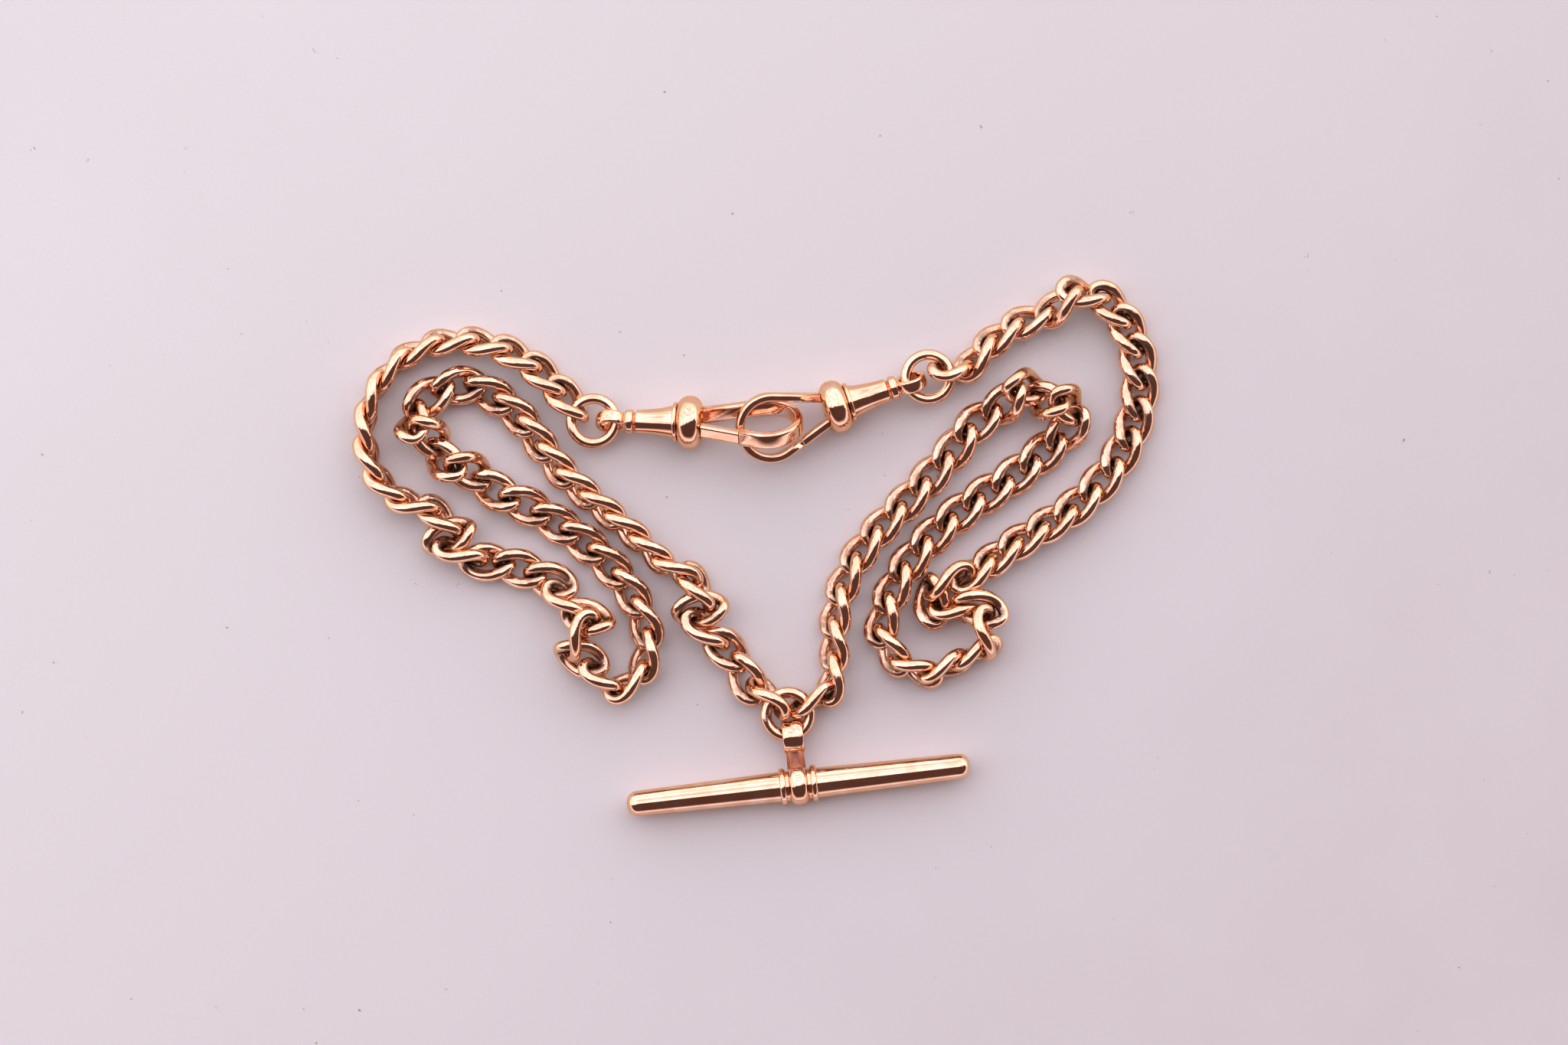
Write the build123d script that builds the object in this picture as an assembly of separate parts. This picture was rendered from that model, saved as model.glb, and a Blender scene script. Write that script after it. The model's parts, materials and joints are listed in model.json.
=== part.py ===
from build123d import *
import math
import os

import numpy as np

# A double Albert watch chain: a T-bar, a jump ring that gathers two runs of curb links,
# and a swivel clip on each run. The two clips are hooked through each other.
# Millimetres, +Z up, lying on the plane z = 0.

# ---- Sizes ----
WIRE = 1.36  # diameter of a curb link's wire
LINK_LENGTH = 7.35  # outside length of a curb link
LINK_WIDTH = 4.9  # outside width of a curb link
LINK_TWIST = 45  # how far each end of a link is turned from its middle, degrees
LINK_GAP = 0.07  # least gap between the wires of two links
LINKS_PER_NODE = 3  # neighbouring links kept together in one node
LINK_ARCS = 4  # pairs of arcs that make one side of a link

BAR_LENGTH = 42.0  # T-bar, end to end
BAR_DIAMETER = 3.1  # at its two caps
BAR_MIDDLE_DIAMETER = 3.7  # beside its side rings, from where it tapers
BAR_ANGLE = 6.6  # how far the bar is turned about Z, degrees
BEAD_DIAMETER = 4.9  # bead at the middle of the bar
BEAD_WIDTH = 2.5
BEAD_ROUNDING = 1.0
CAP_LENGTH = 1.5  # domed cap at each end of the bar
CAP_ROUNDING = 1.3
SIDE_RING_DIAMETER = 4.5
SIDE_RING_WIDTH = 0.8
SIDE_RING_ROUNDING = 0.35
SIDE_RING_STEP = 0.25  # groove between the bead and a side ring
BAIL_OUTSIDE = 4.2  # outside diameter of the bail's loop
BAIL_STRAP = 0.7  # thickness of the bail's strap
BAIL_WIDTH = 2.5  # width of the bail's strap, along the bar
NECK_LENGTH = 1.4  # gap between the bail and the bead
NECK_DIAMETER = 2.2

BAR_RING_OUTSIDE = 6.75  # jump ring that gathers both runs
BAR_RING_WIRE = 1.4
CLIP_RING_OUTSIDE = 6.75  # ring at each clip
CLIP_RING_WIRE = 1.3

EYE_OUTSIDE = 3.9  # clip's swivel eye
EYE_STRAP = 0.72
EYE_WIDTH = 1.6
EYE_SINK = 0.2  # how far the eye's loop runs into its flange
STRAP_ROUNDING = 0.35  # rounding of a strap's edges, as a share of its thickness
FLANGE_DIAMETER = 3.0
FLANGE_LENGTH = 1.0
FLANGE_ROUNDING = 0.3
COLLAR_DIAMETER = 2.3  # groove between the flange and the barrel
COLLAR_LENGTH = 0.3
STEM_DIAMETER = 1.3
STEM_HEAD_DIAMETER = 2.0
STEM_HEAD_LENGTH = 0.8
SWIVEL_GAP = 0.08  # play round the stem and beside its head and flange
BARREL_LENGTH = 4.5
BARREL_WAIST_DIAMETER = 3.2  # half way along
BARREL_NECK_DIAMETER = 2.9
BARREL_FOOT_DIAMETER = 4.1
BARREL_WALL = 0.75  # length of the neck that holds the stem's head
DISC_DIAMETER = 4.9
DISC_LENGTH = 0.5
DISC_ROUNDING = 0.2
BULB_DIAMETER = 6.5
BULB_LENGTH = 3.0
BULB_ROUNDING = 1.35
HOOK_OUTSIDE = 8.6  # outside diameter of the hook's bow
HOOK_THICKNESS = 1.1  # of the band, across the bow
HOOK_WIDTH = 2.1  # of the band, along the bow's axis
HOOK_ROUNDING = 0.35
LEFT_REACH = 9.5  # from the bulb's middle to the middle of the bow
RIGHT_REACH = 8.3
JAW_SPREAD = 1.55  # how far from the axis the arm and the gate leave the bulb
JAW_ROOT = 1.2  # where they would start, from the bulb's middle
NOSE_LENGTH = 2.1  # straight end of the hook that the gate meets
GATE_WIDTH = 1.7
GATE_GAP = 0.1  # clearance at the gate's tip and in its slot
GATE_SWING = 0.35  # room in the slot on the side that the gate opens to
PIN_BACK = 0.35  # from the gate's root back to its pin
PIN_DIAMETER = 0.6
PIN_PLAY = 0.05
SPRING_THICKNESS = 0.15  # leaf behind the gate's tail
SPRING_PLAY = 0.05
SPRING_SIZE = 1.2

# ---- Where the pieces lie ----
BAR_RING_CENTRE = (4.2, -21.0, 2.4)
BEAD_CENTRE = (5.5, -29.6)
LEFT_BULB = (-7.7, 14.5, 3.3)
LEFT_HEADING = -1.0
LEFT_RISE = 5.4
LEFT_ROLL = -55.0
RIGHT_BULB = (10.0, 16.4, 3.4)
RIGHT_HEADING = 197.9
RIGHT_RISE = 2.5
RIGHT_ROLL = 170.0
EYE_ROLL = 68.0  # how far each eye's loop stands up from the lying position
RING_INSET = 2.2  # from the eye's middle to the middle of the ring on it

# Each run as links lie on the table, from the jump ring to the clip: number of the link along
# the run, x, y and height of its middle, how far it is rolled about its own length, and how
# far it is turned across the run.
LEFT_RUN = [
    (0, 1.5, -18.4, 2.3, -60, 0),
    (1, -1.3, -16.5, 1.7, 0, 0),
    (2, -3.5, -13.3, 1.4, 0, 0),
    (3, -5.8, -10.7, 2.5, 59, 21),
    (4, -6.5, -8.2, 2.9, -11, 89),
    (5, -6.7, -5.6, 2.7, 68, 11),
    (6, -9.3, -3.5, 2.2, 112, 4),
    (7, -12.6, -1.3, 1.9, 148, -3),
    (9, -18.7, 4.5, 1.4, 0, 0),
    (12, -27.5, 12.3, 1.4, 0, 0),
    (14, -31.9, 18.0, 1.4, 0, 0),
    (15, -35.4, 19.6, 1.5, 0, 0),
    (16, -39.3, 18.3, 1.6, 0, 0),
    (17, -41.4, 15.0, 1.6, 0, 0),
    (18, -40.2, 11.8, 1.5, 0, 0),
    (19, -38.0, 9.7, 1.5, 0, 0),
    (21, -31.0, 6.6, 1.4, 0, 0),
    (24, -20.5, -0.2, 1.4, 0, 0),
    (26, -14.9, -6.0, 1.4, 0, 0),
    (27, -13.1, -9.9, 1.5, 0, 0),
    (28, -13.1, -14.0, 1.5, 0, 0),
    (29, -15.9, -17.4, 1.5, 0, 0),
    (30, -19.1, -16.1, 2.4, 70, 0),
    (31, -20.8, -13.8, 2.4, 0, 60),
    (32, -20.9, -11.3, 3.8, 75, 0),
    (33, -20.3, -9.0, 3.6, 0, 50),
    (34, -22.3, -7.2, 2.6, 70, 0),
    (36, -28.4, -3.4, 1.4, 0, 0),
    (37, -32.5, -2.2, 1.4, 0, 20),
    (38, -35.6, -1.4, 2.6, 79, 14),
    (39, -37.2, 0.5, 2.5, -2, 81),
    (40, -37.9, 2.7, 2.4, 61, 12),
    (41, -41.2, 5.1, 2.4, 102, 5),
    (42, -44.3, 6.9, 2.0, 146, -6),
    (44, -46.8, 13.7, 1.4, 0, 0),
    (46, -44.5, 20.6, 1.4, 0, 0),
    (48, -37.4, 24.6, 1.4, 0, 0),
    (50, -29.0, 23.2, 1.4, 0, 0),
    (52, -22.4, 18.2, 2.4, -45, 0),
]
RIGHT_RUN = [
    (0, 7.3, -19.6, 2.6, -65, -20),
    (1, 10.0, -16.9, 1.6, 0, 0),
    (3, 10.0, -8.5, 1.4, 0, 0),
    (5, 12.9, -0.8, 1.4, 0, 0),
    (8, 22.0, 7.5, 1.4, 0, 0),
    (10, 27.3, 14.4, 1.4, 0, 0),
    (12, 32.8, 19.8, 1.4, 0, 0),
    (14, 38.8, 16.1, 1.5, 0, 0),
    (15, 39.0, 12.8, 1.5, 0, 0),
    (17, 32.0, 8.8, 1.4, 0, 0),
    (20, 22.0, 0.7, 1.4, 0, 0),
    (22, 16.7, -5.7, 1.4, 0, 0),
    (23, 15.4, -9.8, 1.4, 0, 0),
    (24, 16.8, -13.5, 1.4, 0, 0),
    (25, 20.2, -15.6, 1.5, 0, 0),
    (26, 23.9, -15.0, 1.5, 0, 0),
    (27, 26.4, -12.4, 1.6, 0, 0),
    (28, 28.2, -10.0, 2.2, 60, 0),
    (29, 27.6, -8.3, 3.4, 0, 0),
    (30, 24.6, -8.3, 2.5, -60, 0),
    (31, 21.5, -6.7, 2.0, 0, 0),
    (32, 24.4, -5.5, 2.4, 60, 0),
    (33, 27.0, -4.0, 1.7, 0, 0),
    (35, 32.8, 0.5, 1.4, 0, 0),
    (38, 42.7, 7.5, 1.4, 0, 0),
    (40, 46.3, 14.6, 1.4, 0, 0),
    (42, 46.6, 22.0, 1.4, 0, 0),
    (44, 43.8, 28.4, 1.5, 0, 0),
    (45, 40.3, 29.9, 1.5, 0, 0),
    (47, 33.4, 26.3, 1.5, 0, 0),
    (49, 26.6, 22.8, 1.6, 0, 0),
    (50, 23.4, 21.4, 2.6, 50, 0),
]

LISTED_PITCH = 4.63  # pull from link to link that the two lists above are numbered for
SAMPLES = 28  # points that stand for a link's wire while the chain is settled
SETTLE_STEPS = 1300
RING_SAMPLES = 64  # points that stand for a ring or another obstacle
CARRY = 0.6  # share of a settling move that carries on into the next
HOLD = 0.03  # how firmly a link is first held to its listed place
HOLD_SHARE = 0.6  # share of the settling after which it is let go
FIRMNESS = 1.2  # share of a touching pair's depth that one step takes out
SPIN = 1.5  # how readily a link turns rather than moves
SAG = 0.1  # pull towards the table while a link is held
LOOK_STEPS = 10  # steps between two looks for near pairs
TINY = 1e-9
CLOSE = 1e-4  # a length or an angle too small to matter


# ---- Laying the chain ----
def unit(vector):
    return vector / np.linalg.norm(vector)


def turned(axis, degrees):
    """The 3x3 rotation about a unit axis."""
    x, y, z = axis
    c, s = math.cos(math.radians(degrees)), math.sin(math.radians(degrees))
    k = np.array([[0, -z, y], [z, 0, -x], [-y, x, 0]])
    return np.eye(3) + s * k + (1 - c) * k @ k


def link_curve(t):
    """A point of a link's centreline: an oval, twisted about its length."""
    half_length, half_width = (LINK_LENGTH - WIRE) / 2, (LINK_WIDTH - WIRE) / 2
    twist = -math.radians(LINK_TWIST) * math.cos(t)
    return (
        half_length * math.cos(t),
        half_width * math.sin(t) * math.cos(twist),
        half_width * math.sin(t) * math.sin(twist),
    )


def loop_points(curve, count):
    return np.array([curve(2 * math.pi * i / count) for i in range(count)])


def ring_points(centre, x_axis, y_axis, radius, count):
    """Points round a circle, in the plane of two unit vectors."""
    t = np.arange(count) * 2 * math.pi / count
    return np.array(centre) + radius * (np.outer(np.cos(t), x_axis) + np.outer(np.sin(t), y_axis))


def planned(run):
    """Where each link of a run would lie: middles and rotations, eased between the listed links.

    The links share the listed way evenly, so longer links are fewer.
    """
    knots = np.array([row[0] for row in run], float)
    values = np.array([row[1:4] for row in run], float)
    slopes = np.gradient(values, knots, axis=0)
    count = round(knots[-1] * LISTED_PITCH / (LINK_LENGTH - 2 * WIRE)) + 1
    numbers = np.linspace(0, knots[-1], count)
    middles = []
    for number in numbers:
        i = min(max(int(np.searchsorted(knots, number, side="right")) - 1, 0), len(knots) - 2)
        h = knots[i + 1] - knots[i]
        u = (number - knots[i]) / h
        middles.append(
            (2 * u**3 - 3 * u**2 + 1) * values[i]
            + (u**3 - 2 * u**2 + u) * h * slopes[i]
            + (3 * u**2 - 2 * u**3) * values[i + 1]
            + (u**3 - u**2) * h * slopes[i + 1]
        )
    middles = np.array(middles)
    headings = np.gradient(middles, axis=0)
    rotations = []
    for number, heading in zip(numbers, headings):
        nearest = int(np.argmin(abs(knots - number)))
        roll, turn = run[nearest][4:] if round(abs(knots[nearest] - number)) == 0 else (0, 0)
        x = unit(heading)
        y = unit(np.cross([0, 0, 1], x))
        lying = np.stack([x, y, np.cross(x, y)], axis=1)
        rotations.append(lying @ turned((0, 0, 1), turn) @ turned((1, 0, 0), roll))
    return middles, np.array(rotations)


def settle(middles, rotations, fixed):
    """Push the links apart until no two wires touch, and none is below the table."""
    local = loop_points(link_curve, SAMPLES)
    spin = SPIN / np.mean(np.sum(local**2, axis=1))
    start, start_rot = middles.copy(), rotations.copy()
    apart = WIRE + LINK_GAP
    drift, turn = np.zeros_like(middles), np.zeros_like(middles)
    for step in range(SETTLE_STEPS):
        hold = HOLD * max(0.0, 1 - step / (HOLD_SHARE * SETTLE_STEPS))
        if step % LOOK_STEPS == 0:
            gaps = np.linalg.norm(middles[:, None] - middles[None], axis=2)
            one, two = np.nonzero(np.triu(gaps < LINK_LENGTH, 1))
        points = np.einsum("nij,kj->nki", rotations, local) + middles[:, None]
        push = np.zeros_like(middles)
        twist = np.zeros_like(middles)
        weight = np.full(len(middles), TINY)

        def press(body, sample, vector, depth):
            arm = points[body, sample] - middles[body]
            np.add.at(push, body, vector * depth)
            np.add.at(twist, body, np.cross(arm, vector) * depth)
            np.add.at(weight, body, depth[:, 0])

        dots = np.einsum("pki,pmi->pkm", points[one], points[two])
        size = np.sum(points**2, axis=2)
        square = size[one][:, :, None] + size[two][:, None] - 2 * dots
        pair, k, m = np.nonzero(square < apart**2)
        span = points[one[pair], k] - points[two[pair], m]
        dist = np.linalg.norm(span, axis=1)[:, None]
        depth = apart - dist
        press(one[pair], k, span / dist * depth / 2, depth)
        press(two[pair], m, -span / dist * depth / 2, depth)
        for body, cloud, room in fixed:
            span = points[body][:, None] - cloud[None]
            dist = np.linalg.norm(span, axis=2)
            sample, m = np.nonzero(dist < room)
            depth = (room - dist[sample, m])[:, None]
            which = np.full(len(sample), body)
            press(which, sample, span[sample, m] / dist[sample, m][:, None] * depth, depth)
        body, sample = np.nonzero(points[:, :, 2] < WIRE / 2)
        depth = (WIRE / 2 - points[body, sample, 2])[:, None]
        press(body, sample, depth * np.array([[0, 0, 1.0]]), depth)

        share = FIRMNESS / weight[:, None]
        drift = CARRY * drift + push * share + hold * (start - middles)
        middles = middles + drift
        middles[:, 2] -= SAG * hold
        back = np.einsum("nij,nkj->nik", start_rot, rotations)
        lean = np.stack([back[:, 2, 1] - back[:, 1, 2], back[:, 0, 2] - back[:, 2, 0],
                         back[:, 1, 0] - back[:, 0, 1]], axis=1) / 2
        turn = CARRY * turn + twist * share * spin + hold * lean
        for i in np.nonzero(np.linalg.norm(turn, axis=1) > TINY)[0]:
            angle = np.linalg.norm(turn[i])
            rotations[i] = turned(turn[i] / angle, math.degrees(angle)) @ rotations[i]
    return middles, rotations


# ---- Shapes ----
def arc_path(points, directions):
    """A smooth path through points along given directions: two tangent arcs between each pair."""
    edges = []
    for p1, p2, t1, t2 in zip(points, points[1:], directions, directions[1:]):
        v, t = p2 - p1, t1 + t2
        bend = 2 * (1 - t1 @ t2)
        reach = (math.sqrt((v @ t) ** 2 + bend * (v @ v)) - v @ t) / bend
        first, second = p1 + reach * t1, p2 - reach * t2
        middle = (first + second) / 2
        edges.append(Edge.make_tangent_arc(Vector(*p1), Vector(*t1), Vector(*middle)))
        edges.append(Edge.make_tangent_arc(Vector(*middle), Vector(*(second - first)), Vector(*p2)))
    return Wire(edges)


def link():
    """A curb link: one side of its oval, and the same side turned half round its length."""
    angles = np.linspace(0, math.pi, LINK_ARCS + 1)
    points = [np.array(link_curve(angle)) for angle in angles]
    directions = [
        unit(np.array(link_curve(angle + CLOSE)) - np.array(link_curve(angle - CLOSE)))
        for angle in angles
    ]
    section = Plane(origin=Vector(*points[0]), z_dir=Vector(*directions[0])) * Circle(WIRE / 2)
    side = sweep(section, path=arc_path(points, directions))
    return (side + side.rotate(Axis.X, 180)).solid()


def ring(outside, wire):
    return Torus((outside - wire) / 2, wire / 2)


def rod(diameter, start, end, axis=Plane.YZ):
    """A round rod along an axis, X unless told otherwise, between two places on it."""
    return extrude(axis.offset(start) * Circle(diameter / 2), amount=end - start)


def strap_loop(outside, strap, width):
    """A round loop of flat strap, its hole along Z, with rounded edges."""
    radius = outside / 2
    profile = Pos(radius - strap / 2, 0) * RectangleRounded(strap, width, strap * STRAP_ROUNDING)
    return revolve(Plane.XZ * profile, Axis.Z)


def end_edges(shape, place):
    """The round edges of a turned shape at one place along X."""
    return shape.edges().filter_by(GeomType.CIRCLE).filter_by(lambda e: abs(e.center().X - place) < CLOSE)


def rounded_rod(diameter, start, end, rounding):
    """A rod along X with rounded rims."""
    body = rod(diameter, start, end)
    return fillet(end_edges(body, start) + end_edges(body, end), rounding)


def rounded_disc(diameter, bore, start, end, rounding):
    """A disc round the X axis with rounded rims and a bore."""
    return rounded_rod(diameter, start, end, rounding) - rod(bore, start, end)


def bar_pieces():
    """The T-bar about the middle of its bead: X along the bar, Y towards the bail."""
    half = BAR_LENGTH / 2
    near = BEAD_WIDTH / 2 + SIDE_RING_STEP
    far = near + SIDE_RING_WIDTH
    rest = half - CAP_LENGTH
    thin, thick = BAR_DIAMETER / 2, BAR_MIDDLE_DIAMETER / 2
    outline = Polyline(
        (-rest, 0), (-rest, thin), (-far, thick), (far, thick), (rest, thin), (rest, 0), close=True
    )
    bar = revolve(make_face(outline), Axis.X)
    cap = rod(BAR_DIAMETER, half - CAP_LENGTH, half)
    cap = fillet(end_edges(cap, half), CAP_ROUNDING)
    bead = rounded_disc(
        BEAD_DIAMETER, BAR_MIDDLE_DIAMETER, -BEAD_WIDTH / 2, BEAD_WIDTH / 2, BEAD_ROUNDING
    )
    side = rounded_disc(SIDE_RING_DIAMETER, BAR_MIDDLE_DIAMETER, near, far, SIDE_RING_ROUNDING)
    loop = strap_loop(BAIL_OUTSIDE, BAIL_STRAP, BAIL_WIDTH).rotate(Axis.Y, 90)
    reach = BEAD_DIAMETER / 2 + NECK_LENGTH + BAIL_OUTSIDE / 2
    inner = reach - BAIL_OUTSIDE / 2 + BAIL_STRAP / 2
    neck = rod(NECK_DIAMETER, thick, inner, Plane.ZX)
    bail = (neck - bead - bar) + Pos(0, reach, 0) * loop
    return {
        "t_bar_rod": [bar],
        "t_bar_cap_left": [cap.rotate(Axis.Z, 180)],
        "t_bar_cap_right": [cap],
        "t_bar_bead": [bead],
        "t_bar_side_rings": [side, side.rotate(Axis.Z, 180)],
        "t_bar_bail": [bail.solids().sort_by(SortBy.VOLUME)[-1]],
    }


def clip_places():
    """Where a clip's turned pieces start and end along X, from the middle of its bulb."""
    disc = -BULB_LENGTH / 2 - DISC_LENGTH
    barrel = disc - BARREL_LENGTH
    collar = barrel - SWIVEL_GAP - COLLAR_LENGTH
    flange = collar - FLANGE_LENGTH
    eye = flange + EYE_SINK - EYE_OUTSIDE / 2
    return disc, barrel, collar, flange, eye


def eye_piece():
    """The eye with its flange, collar and stem, whose head the barrel holds."""
    disc, barrel, collar, flange, eye = clip_places()
    loop = Pos(eye, 0, 0) * strap_loop(EYE_OUTSIDE, EYE_STRAP, EYE_WIDTH)
    plate = rounded_rod(FLANGE_DIAMETER, flange, collar, FLANGE_ROUNDING)
    head = barrel + BARREL_WALL + SWIVEL_GAP
    stem = rod(COLLAR_DIAMETER, collar, barrel - SWIVEL_GAP) + rod(STEM_DIAMETER, collar, head)
    return loop + plate + stem + rod(STEM_HEAD_DIAMETER, head, head + STEM_HEAD_LENGTH)


def barrel_piece():
    """The flared barrel, hollow round the head of the eye's stem."""
    foot, neck = clip_places()[:2]
    outside = ThreePointArc(
        (neck, BARREL_NECK_DIAMETER / 2),
        ((neck + foot) / 2, BARREL_WAIST_DIAMETER / 2),
        (foot, BARREL_FOOT_DIAMETER / 2),
    )
    edge = Polyline(outside @ 1, (foot, 0), (neck, 0), outside @ 0)
    body = revolve(make_face([outside, edge]), Axis.X)
    room = 2 * SWIVEL_GAP
    inside = neck + BARREL_WALL
    bore = rod(STEM_DIAMETER + room, neck, inside)
    return body - bore - rod(STEM_HEAD_DIAMETER + room, inside, inside + STEM_HEAD_LENGTH + room)


def jaw(reach):
    """The bow's tangent points and the direction of its arm, in the clip's own plane."""
    radius = (HOOK_OUTSIDE - HOOK_THICKNESS) / 2
    root = np.array([JAW_ROOT, JAW_SPREAD])
    span = math.hypot(reach - root[0], root[1])
    heading = math.asin(radius / span) - math.atan2(root[1], reach - root[0])
    along = np.array([math.cos(heading), math.sin(heading)])
    return root, along, root + math.sqrt(span**2 - radius**2) * along


def hook_piece(reach, bulb):
    """The band of the hook: its arm, its round bow and its nose."""
    root, along, touch = jaw(reach)
    mirror = np.array([1, -1])
    far = reach + (HOOK_OUTSIDE - HOOK_THICKNESS) / 2
    path = Wire(
        [
            Line(tuple(root), tuple(touch)),
            ThreePointArc(tuple(touch), (far, 0), tuple(touch * mirror)),
            Line(tuple(touch * mirror), tuple((touch - NOSE_LENGTH * along) * mirror)),
        ]
    )
    start = Plane(origin=(*root, 0), x_dir=(0, 0, 1), z_dir=(*along, 0))
    section = start * RectangleRounded(HOOK_WIDTH, HOOK_THICKNESS, HOOK_ROUNDING)
    return sweep(section, path=path) - bulb


def gate_pieces(reach, bulb):
    """The gate, its pin and its leaf spring, and the bulb with their slot and hole cut in it."""
    root, along, touch = jaw(reach)
    mirror = np.array([1, -1])
    pin_place = (root - PIN_BACK * along) * mirror
    frame = Plane(origin=(*pin_place, 0), x_dir=(*(along * mirror), 0), z_dir=(0, 0, 1))
    tip = math.dist(root, touch) + PIN_BACK - NOSE_LENGTH - GATE_GAP
    tail = HOOK_THICKNESS / 2
    section = Plane.YZ * RectangleRounded(HOOK_THICKNESS, GATE_WIDTH, HOOK_ROUNDING)
    bar = extrude(section, amount=tip) + Cylinder(tail, GATE_WIDTH)
    gate = bar - Cylinder(PIN_DIAMETER / 2 + PIN_PLAY, GATE_WIDTH)
    back = tail + SPRING_PLAY + SPRING_THICKNESS
    low, high = -tail - GATE_GAP, tail + GATE_GAP + GATE_SWING
    width = GATE_WIDTH + 2 * GATE_GAP
    slot = Pos(BULB_LENGTH / 2 - back, (low + high) / 2) * Box(BULB_LENGTH, high - low, width)
    spring = Pos(SPRING_THICKNESS / 2 - back, 0) * Box(SPRING_THICKNESS, SPRING_SIZE, SPRING_SIZE)
    pin = (frame * Cylinder(PIN_DIAMETER / 2, BULB_DIAMETER)) & bulb
    return frame * gate, pin, frame * spring, bulb - frame * slot - pin


def clip_frame(bulb, heading, rise, roll):
    """The plane of a clip: X from its bulb towards its bow, rolled about X."""
    h, r = math.radians(heading), math.radians(rise)
    x = np.array([math.cos(h) * math.cos(r), math.sin(h) * math.cos(r), math.sin(r)])
    y = unit(np.cross([0, 0, 1], x))
    z = turned(x, roll) @ np.cross(x, y)
    return Plane(origin=bulb, x_dir=Vector(*x), z_dir=Vector(*z))


def clip_pieces(side, reach, bulb, heading, rise, roll):
    """One swivel clip, where it lies."""
    disc = clip_places()[0]
    body = rounded_rod(BULB_DIAMETER, -BULB_LENGTH / 2, BULB_LENGTH / 2, BULB_ROUNDING)
    gate, pin, spring, slotted = gate_pieces(reach, body)
    plate = rounded_rod(DISC_DIAMETER, disc, -BULB_LENGTH / 2, DISC_ROUNDING)
    local = {
        "barrel": barrel_piece(),
        "disc": plate,
        "bulb": slotted,
        "hook": hook_piece(reach, body),
        "gate": gate,
        "gate_pin": pin,
        "gate_spring": spring,
    }
    frame = clip_frame(bulb, heading, rise, roll)
    pieces = {f"clip_{side}_{name}": [frame * shape] for name, shape in local.items()}
    pieces[f"clip_{side}_eye"] = [clip_frame(bulb, heading, rise, EYE_ROLL) * eye_piece()]
    return pieces


# ---- Assembly ----
def clip_ring_centre(bulb, heading, rise):
    """The middle of the ring on a clip's eye: beyond the eye, and level with it."""
    h, r = math.radians(heading), math.radians(rise)
    eye = clip_places()[4]
    level = eye * math.cos(r) - RING_INSET
    return np.array(bulb) + [level * math.cos(h), level * math.sin(h), eye * math.sin(r)]


def bar_frame():
    """The plane of the T-bar: X along the bar, Y towards the bail."""
    a = math.radians(BAR_ANGLE)
    return Plane(origin=(*BEAD_CENTRE, BEAD_DIAMETER / 2), x_dir=(math.cos(a), math.sin(a), 0))


def obstacles():
    """Points on the rings, the bail and the clips' eyes, with the room that a link's wire needs."""
    flat = np.eye(3)
    near = []
    bar_radius = (BAR_RING_OUTSIDE - BAR_RING_WIRE) / 2
    cloud = ring_points(BAR_RING_CENTRE, flat[0], flat[1], bar_radius, RING_SAMPLES)
    near.append((cloud, (WIRE + BAR_RING_WIRE) / 2 + LINK_GAP))
    clip_radius = (CLIP_RING_OUTSIDE - CLIP_RING_WIRE) / 2
    for bulb, heading, rise in (
        (LEFT_BULB, LEFT_HEADING, LEFT_RISE),
        (RIGHT_BULB, RIGHT_HEADING, RIGHT_RISE),
    ):
        centre = clip_ring_centre(bulb, heading, rise)
        cloud = ring_points(centre, flat[0], flat[1], clip_radius, RING_SAMPLES)
        near.append((cloud, (WIRE + CLIP_RING_WIRE) / 2 + LINK_GAP))
        x = np.array(tuple(clip_frame(bulb, heading, rise, 0).x_dir))
        eye = np.array(bulb) + clip_places()[4] * x
        start = (EYE_STRAP - EYE_OUTSIDE) / 2
        line = eye + np.outer(np.linspace(start, -clip_places()[4], RING_SAMPLES), x)
        near.append((line, (WIRE + COLLAR_DIAMETER) / 2))
    frame = bar_frame()
    x, y = np.array(tuple(frame.x_dir)), np.array(tuple(frame.y_dir))
    reach = BEAD_DIAMETER / 2 + NECK_LENGTH + BAIL_OUTSIDE / 2
    bail = np.array(tuple(frame.origin)) + reach * y
    for shift in (-1, 0, 1):
        middle = bail + shift * (BAIL_WIDTH / 2 - BAIL_STRAP / 2) * x
        radius = (BAIL_OUTSIDE - BAIL_STRAP) / 2
        cloud = ring_points(middle, y, flat[2], radius, RING_SAMPLES)
        near.append((cloud, WIRE / 2 + BAIL_STRAP / 2 + LINK_GAP))
    return near


def layout():
    """How many links the left run has, and each link's settled middle and rotation, left run first."""
    runs = planned(LEFT_RUN), planned(RIGHT_RUN)
    middles, rotations = (np.concatenate(pair) for pair in zip(*runs))
    fixed = []
    for cloud, room in obstacles():
        for number, middle in enumerate(middles):
            if np.linalg.norm(cloud - middle, axis=1).min() < LINK_LENGTH:
                fixed.append((number, cloud, room))
    middles, rotations = settle(middles, rotations, fixed)
    left_count = len(runs[0][0])
    return left_count, middles, rotations


def link_nodes():
    """Both runs of links, a few neighbours to a node."""
    left_count, middles, rotations = layout()
    shape = link()
    nodes = {}
    for side, first, last in (("left", 0, left_count), ("right", left_count, len(middles))):
        for number, start in enumerate(range(first, last, LINKS_PER_NODE), 1):
            stop = min(start + LINKS_PER_NODE, last)
            nodes[f"links_{side}_{number:02d}"] = [
                placed(shape, middles[i], rotations[i]) for i in range(start, stop)
            ]
    return nodes


def placed(shape, middle, rotation):
    """A copy of a shape with its axes along the columns of a rotation."""
    x, z = Vector(*rotation[:, 0]), Vector(*rotation[:, 2])
    return shape.moved(Plane(origin=Vector(*middle), x_dir=x, z_dir=z).location)


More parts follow.
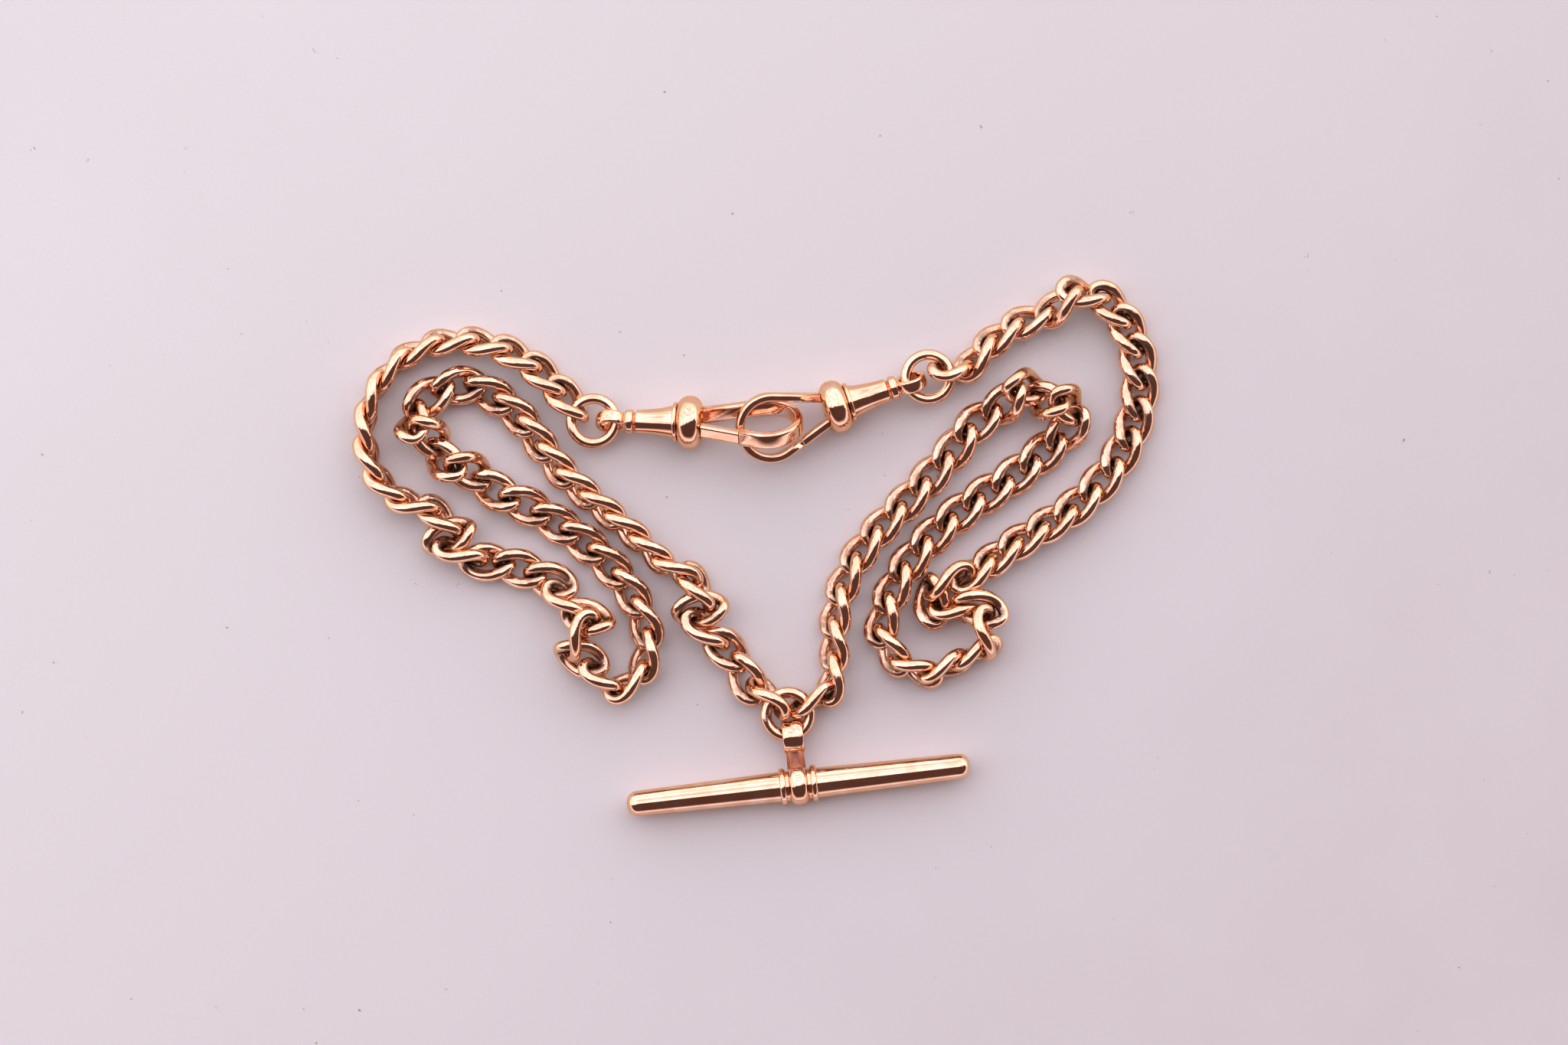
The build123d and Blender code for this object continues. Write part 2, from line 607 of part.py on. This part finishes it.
def watch_chain():
    """Every piece where it lies, by node, before the origin is moved."""
    nodes = {name: [bar_frame() * s for s in group] for name, group in bar_pieces().items()}
    nodes["ring_t_bar"] = [Pos(*BAR_RING_CENTRE) * ring(BAR_RING_OUTSIDE, BAR_RING_WIRE)]
    for side, reach, bulb, heading, rise, roll in (
        ("left", LEFT_REACH, LEFT_BULB, LEFT_HEADING, LEFT_RISE, LEFT_ROLL),
        ("right", RIGHT_REACH, RIGHT_BULB, RIGHT_HEADING, RIGHT_RISE, RIGHT_ROLL),
    ):
        nodes.update(clip_pieces(side, reach, bulb, heading, rise, roll))
        centre = clip_ring_centre(bulb, heading, rise)
        nodes[f"ring_{side}"] = [Pos(*centre) * ring(CLIP_RING_OUTSIDE, CLIP_RING_WIRE)]
    nodes.update(link_nodes())
    return nodes


def origin_shift(nodes):
    """The move that puts the middle of the box at x = y = 0 and its underside at z = 0."""
    box = Compound(children=[Compound(children=list(group)) for group in nodes.values()]).bounding_box()
    middle = box.center()
    return (-middle.X, -middle.Y, -box.min.Z)


def main():
    nodes = watch_chain()
    shift = origin_shift(nodes)
    os.makedirs("parts", exist_ok=True)
    for name, group in nodes.items():
        solids = [Pos(*shift) * piece.solid() for piece in group]
        shape = solids[0] if len(solids) == 1 else Compound(children=solids)
        export_step(shape, f"parts/{name}.step")
    print(len(nodes), "nodes, moved by", [round(v, 3) for v in shift])


if __name__ == "__main__":
    main()
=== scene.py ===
import json
import math

import bmesh
import bpy
import numpy as np
from mathutils import Matrix, Vector


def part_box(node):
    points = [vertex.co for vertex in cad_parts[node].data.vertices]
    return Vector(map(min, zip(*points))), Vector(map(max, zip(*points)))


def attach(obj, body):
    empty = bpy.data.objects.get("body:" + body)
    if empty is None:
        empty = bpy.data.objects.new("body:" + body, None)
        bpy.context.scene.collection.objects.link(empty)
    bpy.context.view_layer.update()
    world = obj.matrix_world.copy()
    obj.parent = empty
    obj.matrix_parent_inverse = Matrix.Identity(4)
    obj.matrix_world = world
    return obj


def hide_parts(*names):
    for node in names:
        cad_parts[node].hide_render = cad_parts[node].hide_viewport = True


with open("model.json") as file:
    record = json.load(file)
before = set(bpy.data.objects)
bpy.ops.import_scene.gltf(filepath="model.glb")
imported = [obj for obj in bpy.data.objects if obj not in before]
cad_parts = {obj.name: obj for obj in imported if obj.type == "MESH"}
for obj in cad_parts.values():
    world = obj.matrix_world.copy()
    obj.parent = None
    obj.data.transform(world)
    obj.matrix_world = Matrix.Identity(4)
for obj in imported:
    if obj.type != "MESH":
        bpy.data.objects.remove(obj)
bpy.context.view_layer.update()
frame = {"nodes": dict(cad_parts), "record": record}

MM = 0.001

# ---- Driving sizes, in metres ----
WIRE = 1.36 * MM  # diameter of a curb link's wire
LINK_LENGTH = 7.35 * MM
LINK_WIDTH = 4.9 * MM
LINK_TWIST = math.radians(45)
WORN_FLAT = 0.04 * MM  # how much polishing has taken off a link's highest places
SWELL = 0.07 * MM  # how much fuller a link's long sides are, inwards, than its ends
HOOK_CROWN = 0.07 * MM  # how much lower the edges of a strap are than its middle, on each face
LOOP_CROWN = 0.13 * MM
CROWN_CUTS = 7  # lines cut along a strap, so that it can be crowned
WELD = 0.001 * MM  # corners nearer than this are one
HOOK_WIDTH = 2.1 * MM  # width of each strap, and the outside diameter of its loop
EYE_WIDTH = 1.6 * MM
EYE_LOOP = 3.9 * MM
BAIL_WIDTH = 2.5 * MM
BAIL_LOOP = 4.2 * MM
EDGE_ROOM = 1.02  # how far past its half width a strap's corners may be, for rounding errors
MATT_END = 2.0 * MM  # length of the bail's matt neck
MATT_FADE = 0.7 * MM
MATT_WOBBLE = 0.35 * MM
INNER_BIAS = 0.42  # how much of a link's wire is darkened, for soiling and for painted shade: its inner side, more at the two ends
INNER_SLOPE = 1.3
SIDE_DIRT_AND_SHADE = 0.22
END_SHARPNESS = 1.2
TANGENT_STEP = 1e-4
RINGS_ROUND = 112  # mesh steps along a link's wire
RINGS_ACROSS = 22  # and round it

VIEW_WIDTH = 191.9 * MM  # width of the table that the camera sees
VIEW_LOOK = (3.3 * MM, 2.8 * MM)  # where it looks
LENS = 85.0
TABLE_HALF = 1.5  # half the side of the table, in metres
GLOW = 1.9  # strength of the studio's light
SENSOR = 36.0


# ---- Node helpers ----
class Nodes:
    """Short ways to build a material's or a world's node tree."""

    def __init__(self, tree):
        self.tree = tree
        self.tree.nodes.clear()

    def add(self, kind, **settings):
        node = self.tree.nodes.new(kind)
        for key, value in settings.items():
            setattr(node, key, value)
        return node

    def link(self, out, into):
        self.tree.links.new(out, into)

    def feed(self, into, value):
        """Links a socket, or sets a constant on it."""
        if isinstance(value, bpy.types.NodeSocket):
            self.link(value, into)
        else:
            into.default_value = value

    def math(self, operation, a, b=0.0, c=0.0, clamp=False):
        node = self.add("ShaderNodeMath", operation=operation, use_clamp=clamp)
        for socket, value in zip(node.inputs, (a, b, c)):
            self.feed(socket, value)
        return node.outputs[0]

    def mix(self, factor, a, b, blend="MIX"):
        node = self.add("ShaderNodeMix", data_type="RGBA", blend_type=blend)
        self.feed(node.inputs[0], factor)
        self.feed(node.inputs[6], a)
        self.feed(node.inputs[7], b)
        return node.outputs[2]

    def noise(self, vector, scale, detail=3.0, roughness=0.55, distortion=0.0):
        node = self.add("ShaderNodeTexNoise")
        self.link(vector, node.inputs["Vector"])
        node.inputs["Scale"].default_value = scale
        node.inputs["Detail"].default_value = detail
        node.inputs["Roughness"].default_value = roughness
        node.inputs["Distortion"].default_value = distortion
        return node.outputs["Fac"]

    def span(self, value, low, high, to_low=0.0, to_high=1.0, smooth=True):
        """Maps low..high to to_low..to_high, clamped."""
        node = self.add("ShaderNodeMapRange", interpolation_type="SMOOTHSTEP" if smooth else "LINEAR")
        self.feed(node.inputs["Value"], value)
        node.inputs["From Min"].default_value = low
        node.inputs["From Max"].default_value = high
        node.inputs["To Min"].default_value = to_low
        node.inputs["To Max"].default_value = to_high
        return node.outputs["Result"]

    def scaled(self, vector, factors):
        node = self.add("ShaderNodeVectorMath", operation="MULTIPLY")
        self.link(vector, node.inputs[0])
        node.inputs[1].default_value = factors
        return node.outputs[0]

    def bump(self, height, strength, distance, normal=None):
        node = self.add("ShaderNodeBump")
        self.link(height, node.inputs["Height"])
        node.inputs["Strength"].default_value = strength
        node.inputs["Distance"].default_value = distance
        if normal is not None:
            self.link(normal, node.inputs["Normal"])
        return node.outputs["Normal"]


def new_material(name):
    material = bpy.data.materials.new(name)
    material.use_nodes = True
    return material, Nodes(material.node_tree)


# ---- Materials ----
GOLD_LIGHT = (0.94, 0.63, 0.50, 1)
GOLD_DEEP = (0.86, 0.51, 0.37, 1)
EDGE_TINT = (1.0, 0.80, 0.42, 1)  # gold turns yellow where it is seen edge on
# near-black brown for the links' recesses: soiling, and painted shade where the links lie in each
# other
GRIME_AND_SHADE = (0.055, 0.034, 0.028, 1)
SOLDER = (0.80, 0.47, 0.40, 1)


def gold(name, rough=0.12, streak=None, grime_and_shade=0.0, wear=1.0, dents=0.5, matt=None):
    """Worn rose gold.

    streak: the stretch of the wear lines, along each axis of a piece's own lines if it has them.
    grime: how dark the recesses are made, for soiling and for painted shade where the links lie in
    each other. matt: a function that gives where it is matt.
    """
    material, n = new_material(name)
    place = n.add("ShaderNodeTexCoord").outputs["Object"]
    bsdf = n.add("ShaderNodeBsdfPrincipled")
    out = n.add("ShaderNodeOutputMaterial")
    n.link(bsdf.outputs[0], out.inputs[0])
    lines = n.add("ShaderNodeTexCoord").outputs["UV"] if streak else place
    stretched = n.scaled(lines, streak or (1, 1, 1))
    unit = 1.0 if streak else 1 / MM

    tone = n.noise(place, 0.45 / MM, 4.0, 0.6)
    colour = n.mix(n.span(tone, 0.38, 0.66), GOLD_DEEP, GOLD_LIGHT)
    fine = n.noise(stretched, 2.2 * unit, 5.0, 0.65)
    brushed = n.noise(stretched, 7.0 * unit, 2.0, 0.5)
    pits = n.noise(place, 5.5 / MM, 2.0, 0.5)
    rubbed = n.span(fine, 0.48, 0.72, rough * 0.6, rough * 0.6 + 0.13 * wear)
    roughness = n.math("ADD", rubbed, n.span(pits, 0.66, 0.78, 0.0, 0.14 * wear), clamp=True)

    # The inner sides of the links' wires are darkened: partly soiling, partly painted shade where the
    # links lie in each other.
    if grime_and_shade:
        dirt_and_shade = n.add("ShaderNodeAttribute", attribute_name="recess_dirt_and_shade").outputs["Fac"]
        patchy = n.span(n.noise(place, 1.6 / MM, 4.0, 0.6), 0.28, 0.56)
        dirt_and_shade = n.math("MULTIPLY", n.math("MULTIPLY", dirt_and_shade, patchy), grime_and_shade, clamp=True)
        colour = n.mix(dirt_and_shade, colour, GRIME_AND_SHADE)
        roughness = n.math("ADD", roughness, n.math("MULTIPLY", dirt_and_shade, 0.35), clamp=True)
    if matt is not None:
        where = matt(n)
        colour = n.mix(where, colour, SOLDER)
        roughness = n.math("MAXIMUM", roughness, n.math("MULTIPLY", where, 0.46))
    n.link(colour, bsdf.inputs["Base Color"])
    n.link(roughness, bsdf.inputs["Roughness"])
    bsdf.inputs["Metallic"].default_value = 1.0
    bsdf.inputs["Specular Tint"].default_value = EDGE_TINT

    normal = n.bump(n.noise(place, 0.85 / MM, 2.0, 0.5), dents, 0.05 * MM)
    normal = n.bump(brushed, 0.35 * wear, 0.006 * MM, normal)
    normal = n.bump(pits, 0.20 * wear, 0.01 * MM, normal)
    n.link(normal, bsdf.inputs["Normal"])
    return material


def near_neck(n):
    """1 round the bail's soldered neck, fading into the polished loop."""
    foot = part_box("t_bar_bail")[0].y + MATT_END
    place = n.add("ShaderNodeTexCoord").outputs["Object"]
    y = n.add("ShaderNodeSeparateXYZ")
    n.link(place, y.inputs[0])
    wobble = n.span(n.noise(place, 1.2 / MM, 3.0), 0.3, 0.7, -MATT_WOBBLE, MATT_WOBBLE)
    height = n.math("ADD", y.outputs["Y"], wobble)
    return n.span(height, foot, foot + MATT_FADE, 1.0, 0.0)


def steel():
    material, n = new_material("spring_steel")
    place = n.add("ShaderNodeTexCoord").outputs["Object"]
    bsdf = n.add("ShaderNodeBsdfPrincipled")
    n.link(bsdf.outputs[0], n.add("ShaderNodeOutputMaterial").inputs[0])
    streaks = n.noise(n.scaled(place, (0.2, 1, 1)), 6 / MM)
    n.link(n.span(streaks, 0.3, 0.7, 0.22, 0.42), bsdf.inputs["Roughness"])
    n.link(n.mix(streaks, (0.40, 0.40, 0.41, 1), (0.62, 0.62, 0.63, 1)), bsdf.inputs["Base Color"])
    bsdf.inputs["Metallic"].default_value = 1.0
    return material


LINK_GOLD = gold("link_gold", 0.12, streak=(0.30, 2.4, 1.0), grime_and_shade=1.0, dents=0.6)
CAST_GOLD = gold("clip_gold", 0.09, wear=0.5, dents=0.12)
RING_GOLD = gold("ring_gold", 0.13, wear=0.8, dents=0.35)
BAR_GOLD = gold("bar_gold", 0.08, wear=0.35, dents=0.035)
BAIL_GOLD = gold("bail_gold", 0.09, wear=0.5, dents=0.12, matt=near_neck)


# ---- Curb links ----
def link_line(t):
    """A point of a link's centreline: an oval, twisted about its length."""
    twist = -LINK_TWIST * np.cos(t)
    across = (LINK_WIDTH - WIRE) / 2 * np.sin(t)
    return np.stack(
        [(LINK_LENGTH - WIRE) / 2 * np.cos(t), across * np.cos(twist), across * np.sin(twist)], axis=-1
    )


def unit(v):
    return v / np.linalg.norm(v, axis=-1, keepdims=True)


def link_mesh():
    """One link's mesh about its own middle, with lines along the wire and a value for how dark its
    recesses are painted, for soiling and for shade.
    """
    t = np.linspace(0, 2 * math.pi, RINGS_ROUND, endpoint=False)
    line = link_line(t)
    along = unit(link_line(t + TANGENT_STEP) - link_line(t - TANGENT_STEP))
    out = unit(line - np.sum(line * along, axis=1, keepdims=True) * along)
    side = np.cross(along, out)
    s = np.linspace(0, 2 * math.pi, RINGS_ACROSS, endpoint=False)
    ring = np.cos(s)[None, :, None] * out[:, None] + np.sin(s)[None, :, None] * side[:, None]
    top = np.abs((line[:, None] + WIRE / 2 * ring)[..., 2]).max() - WORN_FLAT
    swell = SWELL * np.sin(t)[:, None] ** 4
    points = (line - swell * out)[:, None] + (WIRE / 2 + swell)[:, None] * ring
    points[..., 2] = np.clip(points[..., 2], -top, top)
    # Painted shade, with soiling: the wire's inner side is darkened, most at the link's two ends,
    # where the links lie in each other.
    inward = np.clip(INNER_BIAS - INNER_SLOPE * np.cos(s), 0, 1)[None, :]
    ends = np.abs(np.cos(t))[:, None] ** END_SHARPNESS
    recess_dirt_and_shade = (SIDE_DIRT_AND_SHADE + (1 - SIDE_DIRT_AND_SHADE) * ends) * inward
    mesh = bpy.data.meshes.new("curb_link")
    count, across = RINGS_ROUND, RINGS_ACROSS
    faces, lines = [], []
    length = np.linalg.norm(np.roll(line, -1, axis=0) - line, axis=1) / MM
    run = np.concatenate([[0], np.cumsum(length)])
    round_step = math.pi * WIRE / MM / across
    for i in range(count):
        for j in range(across):
            k, m = (i + 1) % count, (j + 1) % across
            faces.append((i * across + j, k * across + j, k * across + m, i * across + m))
            lines.append(
                [
                    (run[i], j * round_step),
                    (run[i + 1], j * round_step),
                    (run[i + 1], (j + 1) * round_step),
                    (run[i], (j + 1) * round_step),
                ]
            )
    mesh.from_pydata(points.reshape(-1, 3).tolist(), [], faces)
    uv = mesh.uv_layers.new(name="wire_lines")
    uv.data.foreach_set("uv", np.array(lines, np.float32).ravel())
    values = mesh.attributes.new("recess_dirt_and_shade", "FLOAT", "POINT").data
    values.foreach_set("value", recess_dirt_and_shade.astype(np.float32).ravel())
    mesh.polygons.foreach_set("use_smooth", [True] * len(faces))
    mesh.materials.append(LINK_GOLD)
    mesh.update()
    return mesh


def loose_parts(node):
    """The separate solids of a CAD node: for each, its triangles as an array of corners."""
    mesh = bmesh.new()
    mesh.from_mesh(frame["nodes"][node].data)
    bmesh.ops.remove_doubles(mesh, verts=mesh.verts, dist=WELD)
    bmesh.ops.triangulate(mesh, faces=mesh.faces)
    mesh.faces.index_update()
    seen, parts = set(), []
    for first in mesh.verts:
        if first in seen:
            continue
        stack, faces = [first], set()
        seen.add(first)
        while stack:
            vert = stack.pop()
            for face in vert.link_faces:
                faces.add(face)
                for other in face.verts:
                    if other not in seen:
                        seen.add(other)
                        stack.append(other)
        faces = sorted(faces, key=lambda face: face.index)
        parts.append(np.array([[v.co[:] for v in face.verts] for face in faces]))
    mesh.free()
    return parts


def link_place(triangles):
    """Where a link lies, from its surface: the middle, and the axes of its length and width."""
    cross = np.cross(triangles[:, 1] - triangles[:, 0], triangles[:, 2] - triangles[:, 0])
    area = np.linalg.norm(cross, axis=1)
    middles = triangles.mean(axis=1)
    centre = (middles * area[:, None]).sum(axis=0) / area.sum()
    spread = middles - centre
    moments = np.einsum("n,ni,nj->ij", area, spread, spread)
    axes = np.linalg.eigh(moments)[1][:, ::-1]
    axes[:, 2] = np.cross(axes[:, 0], axes[:, 1])
    place = Matrix.Translation(Vector(centre))
    turn = Matrix([list(row) for row in axes]).to_4x4()
    return place @ turn


def add_links():
    """A finely made link for every link of the chain, riding with its group."""
    shape = link_mesh()
    for node in sorted(frame["nodes"]):
        if not node.startswith("links_"):
            continue
        for number, triangles in enumerate(loose_parts(node), 1):
            mesh = shape.copy()
            mesh.transform(link_place(triangles))
            piece = bpy.data.objects.new(f"{node}_link_{number}", mesh)
            bpy.context.scene.collection.objects.link(piece)
            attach(piece, node)
            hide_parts(node)


add_links()


# ---- Crowned straps ----
def carrier(node):
    """The body that a CAD node rides on."""
    bodies = frame["record"]["behaviour"]["bodies"]
    return next(body for body, nodes in bodies.items() if node in nodes)


def middle_of(node):
    low, high = (Vector(corner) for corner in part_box(node))
    return (low + high) / 2


def add_crowned(node, width, crown, material, behind=None, loop=None):
    """A copy of a flat-strapped CAD node whose strap is rounded over, thinner at its edges.

    With behind and loop, only the loop of that diameter at the end away from node behind is.
    """
    mesh = frame["nodes"][node].data.copy()
    shape = bmesh.new()
    shape.from_mesh(mesh)
    bmesh.ops.remove_doubles(shape, verts=shape.verts, dist=WELD)
    bmesh.ops.triangulate(shape, faces=shape.faces)
    corners = np.array([[v.co[:] for v in face.verts] for face in shape.faces])
    place = link_place(corners)
    centre, axis = place.translation, place.col[2].xyz
    for offset in np.linspace(-width / 2, width / 2, CROWN_CUTS + 2)[1:-1]:
        everything = shape.verts[:] + shape.edges[:] + shape.faces[:]
        bmesh.ops.bisect_plane(shape, geom=everything, plane_co=centre + axis * offset, plane_no=axis)
    reach, start = Vector((0, 0, 0)), -math.inf
    if loop:
        reach = (middle_of(node) - middle_of(behind)).normalized()
        start = max(v.co.dot(reach) for v in shape.verts) - loop
    shape.normal_update()
    moves = []
    for v in shape.verts:
        beside = (v.co - centre).dot(axis) / (width / 2)
        if v.co.dot(reach) < start or abs(beside) > EDGE_ROOM:
            continue
        fade = min(1.0, (v.co.dot(reach) - start) / crown) if loop else 1.0
        moves.append((v, (v.normal - v.normal.dot(axis) * axis) * crown * beside**2 * fade))
    for v, move in moves:
        v.co -= move
    for face in shape.faces:
        face.smooth = True
    shape.to_mesh(mesh)
    shape.free()
    mesh.materials.clear()
    mesh.materials.append(material)
    piece = bpy.data.objects.new(f"{node}_crowned", mesh)
    bpy.context.scene.collection.objects.link(piece)
    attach(piece, carrier(node))
    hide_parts(node)



for side in ("left", "right"):
    bulb = f"clip_{side}_bulb"
    add_crowned(f"clip_{side}_hook", HOOK_WIDTH, HOOK_CROWN, CAST_GOLD)
    add_crowned(f"clip_{side}_eye", EYE_WIDTH, LOOP_CROWN, CAST_GOLD, bulb, EYE_LOOP)
add_crowned("t_bar_bail", BAIL_WIDTH, LOOP_CROWN, BAIL_GOLD, "t_bar_bead", BAIL_LOOP)

# ---- The pieces that keep their CAD shape ----
FINISH = {
    "ring_": RING_GOLD,
    "t_bar_": BAR_GOLD,
    "clip_": CAST_GOLD,
}


def finish_for(name):
    if name.endswith("gate_spring"):
        return steel()
    return next(material for start, material in FINISH.items() if name.startswith(start))


for name, node in frame["nodes"].items():
    if name.startswith("links_"):
        continue
    node.data.materials.clear()
    node.data.materials.append(finish_for(name))


# ---- Table, light and camera ----
TABLE_PAINTED_LIT = (0.83, 0.81, 0.875, 1)  # painted light: brighter towards the far left
TABLE_PAINTED_SHADE = (0.655, 0.60, 0.655, 1)  # painted shade: dimmer towards the near right
TABLE_CLOUD = (0.77, 0.735, 0.79, 1)
TABLE_GRAIN = (0.60, 0.52, 0.57, 1)
SPECK = (0.20, 0.12, 0.10, 1)


def table_material():
    """Pale lavender-pink board with faint mottling and a few specks, with painted light and shade:
    lighter towards the far left, darker towards the near right.
    """
    material, n = new_material("table")
    place = n.add("ShaderNodeTexCoord").outputs["Object"]
    bsdf = n.add("ShaderNodeBsdfPrincipled")
    n.link(bsdf.outputs[0], n.add("ShaderNodeOutputMaterial").inputs[0])
    cloud = n.noise(place, 0.03 / MM, 4.0, 0.6)
    grain = n.noise(place, 2.5 / MM, 3.0, 0.6)
    across = n.add("ShaderNodeSeparateXYZ")
    n.link(place, across.inputs[0])
    # Painted light and shade: the board is coloured lighter towards the far left and darker towards
    # the near right.
    painted_light_falloff = n.math("ADD", across.outputs["X"], n.math("MULTIPLY", across.outputs["Y"], -1.0))
    painted_dimming = n.span(painted_light_falloff, -VIEW_WIDTH * 0.7, VIEW_WIDTH * 0.7, 0.0, 1.0, smooth=False)
    colour = n.mix(painted_dimming, TABLE_PAINTED_LIT, TABLE_PAINTED_SHADE)
    colour = n.mix(n.span(cloud, 0.3, 0.7, 0.0, 0.25), colour, TABLE_CLOUD)
    colour = n.mix(n.span(grain, 0.3, 0.75, 0.0, 0.08), colour, TABLE_GRAIN)
    speck = n.span(n.noise(place, 0.75 / MM, 1.0, 0.3), 0.79, 0.81)
    flake = n.span(n.noise(place, 2.6 / MM, 2.0, 0.6), 0.50, 0.60)
    dotted = n.math("MULTIPLY", n.math("MULTIPLY", speck, flake), 0.8)
    colour = n.mix(dotted, colour, SPECK)
    n.link(colour, bsdf.inputs["Base Color"])
    bsdf.inputs["Roughness"].default_value = 0.55
    n.link(n.bump(grain, 0.25, 0.02 * MM), bsdf.inputs["Normal"])
    return material


def add_table():
    half = TABLE_HALF
    mesh = bpy.data.meshes.new("table")
    corners = [(-half, -half, 0), (half, -half, 0), (half, half, 0), (-half, half, 0)]
    mesh.from_pydata(corners, [], [(0, 1, 2, 3)])
    mesh.materials.append(table_material())
    table = bpy.data.objects.new("table", mesh)
    bpy.context.scene.collection.objects.link(table)


PANEL = (1.0, 0.95, 0.97, 1)  # the bright far side, and the darker room seen beside it
ROOM = (0.34, 0.28, 0.26, 1)
LOW_FAR = (1.0, 0.80, 0.36, 1)
LOW_NEAR = (0.74, 0.62, 0.60, 1)
DARK_NEAR = (0.055, 0.030, 0.025, 1)
BACKDROP = (0.80, 0.77, 0.79, 1)


def add_world():
    """A studio: bright over the far side, dark on the near side, and warm low down far off."""
    world = bpy.data.worlds.new("studio")
    bpy.context.scene.world = world
    world.use_nodes = True
    n = Nodes(world.node_tree)
    way = n.add("ShaderNodeTexCoord").outputs["Generated"]
    split = n.add("ShaderNodeSeparateXYZ")
    n.link(way, split.inputs[0])
    x, y, z = split.outputs
    ragged = n.span(n.noise(way, 1.7, 2.0, 0.5), 0.3, 0.7, -0.10, 0.10, smooth=False)
    edge = n.math("ADD", n.math("ADD", y, n.math("MULTIPLY", x, -0.18)), ragged)
    far = n.span(edge, -0.05, 0.01)
    low = n.span(z, 0.04, 0.26, 1.0, 0.0)
    room = n.span(n.noise(way, 3.1, 2.0, 0.5), 0.54, 0.58)
    panel = n.mix(n.math("MULTIPLY", room, 0.55), PANEL, ROOM)
    sky = n.mix(low, panel, LOW_FAR)
    near = n.mix(n.span(z, 0.10, 0.42), LOW_NEAR, DARK_NEAR)
    light = n.mix(far, near, sky)
    glow = n.add("ShaderNodeBackground")
    n.link(light, glow.inputs[0])
    glow.inputs[1].default_value = GLOW
    plain = n.add("ShaderNodeBackground")
    plain.inputs[0].default_value = BACKDROP
    seen = n.add("ShaderNodeLightPath").outputs["Is Camera Ray"]
    both = n.add("ShaderNodeMixShader")
    n.link(seen, both.inputs[0])
    n.link(glow.outputs[0], both.inputs[1])
    n.link(plain.outputs[0], both.inputs[2])
    n.link(both.outputs[0], n.add("ShaderNodeOutputWorld").inputs[0])


def add_camera():
    camera = bpy.data.cameras.new("camera")
    camera.lens = LENS
    camera.sensor_width = SENSOR
    camera.clip_start = 0.01
    seat = bpy.data.objects.new("camera", camera)
    bpy.context.scene.collection.objects.link(seat)
    seat.location = (*VIEW_LOOK, VIEW_WIDTH * LENS / SENSOR)
    bpy.context.scene.camera = seat


add_table()
add_world()
add_camera()
bpy.context.scene.view_settings.view_transform = "Standard"
